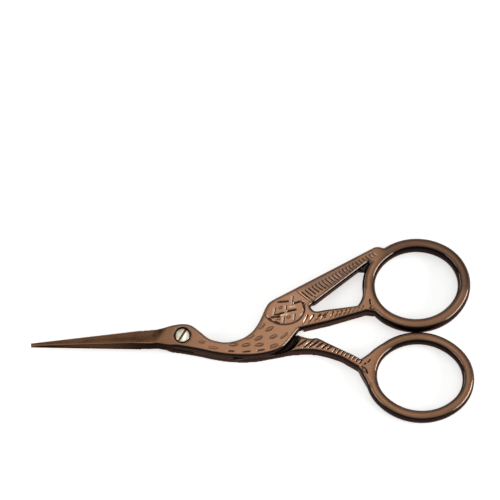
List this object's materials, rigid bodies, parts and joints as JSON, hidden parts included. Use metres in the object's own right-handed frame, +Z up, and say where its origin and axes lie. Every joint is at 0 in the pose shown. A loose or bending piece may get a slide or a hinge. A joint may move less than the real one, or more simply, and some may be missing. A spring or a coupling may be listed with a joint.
{
  "type": "embroidery scissors",
  "caption": "Stork-shaped embroidery scissors for snipping thread: engraved bronze halves crossing on a slotted screw, with a long beak of tapering blades and oval finger rings.",
  "frame": {"origin": "on the screw's axis, in the plane of the lower half's flat underside, which lies on the table", "axes": "+X from the screw to the finger rings, -X to the tips, +Y to the side of the upper ring, +Z up along the screw to its slotted head"},
  "size_m": [0.1152, 0.0513, 0.0044],
  "materials": {
    "bronze": "satin antique bronze coating on steel",
    "nickel": "polished nickel"
  },
  "bodies": {
    "lower": {"lower_half": "bronze", "pivot_screw": "nickel"},
    "upper": {"upper_half": "bronze"}
  },
  "joints": [
    {"name": "pivot", "type": "hinge", "parent": "lower", "child": "upper", "pos_m": [0, 0, 0], "axis": [0, 0, 1], "range_deg": [0, 60]}
  ]
}
